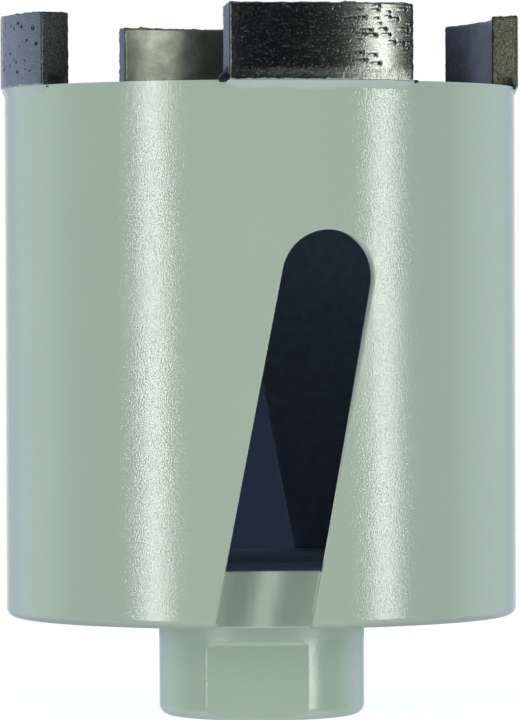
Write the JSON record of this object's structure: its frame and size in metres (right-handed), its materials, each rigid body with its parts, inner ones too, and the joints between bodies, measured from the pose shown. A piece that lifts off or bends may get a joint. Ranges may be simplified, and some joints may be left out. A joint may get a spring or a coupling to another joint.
{
  "type": "diamond core bit",
  "caption": "Dry diamond core bit: thin slotted barrel on a threaded hub with wrench flats, sintered segments welded on its rim.",
  "frame": {"origin": "centre of the hub's end face, on the drilling axis", "axes": "+Z along the drilling axis, from the hub to the cutting edge; -Y is the side that the first slot opens to"},
  "size_m": [0.068, 0.068, 0.0918],
  "materials": {
    "painted_steel": "satin grey-green paint with a fine orange peel",
    "painted_weld": "the same paint, smooth, over a weld bead",
    "sintered_metal": "ground sintered metal with diamond grit standing out"
  },
  "bodies": {
    "root": {"barrel": "painted_steel", "hub_flange": "painted_steel", "base_weld": "painted_steel", "segment_1": "sintered_metal", "segment_2": "sintered_metal", "segment_3": "sintered_metal", "segment_4": "sintered_metal", "segment_weld_1": "painted_weld", "segment_weld_2": "painted_weld", "segment_weld_3": "painted_weld", "segment_weld_4": "painted_weld"}
  },
  "joints": []
}
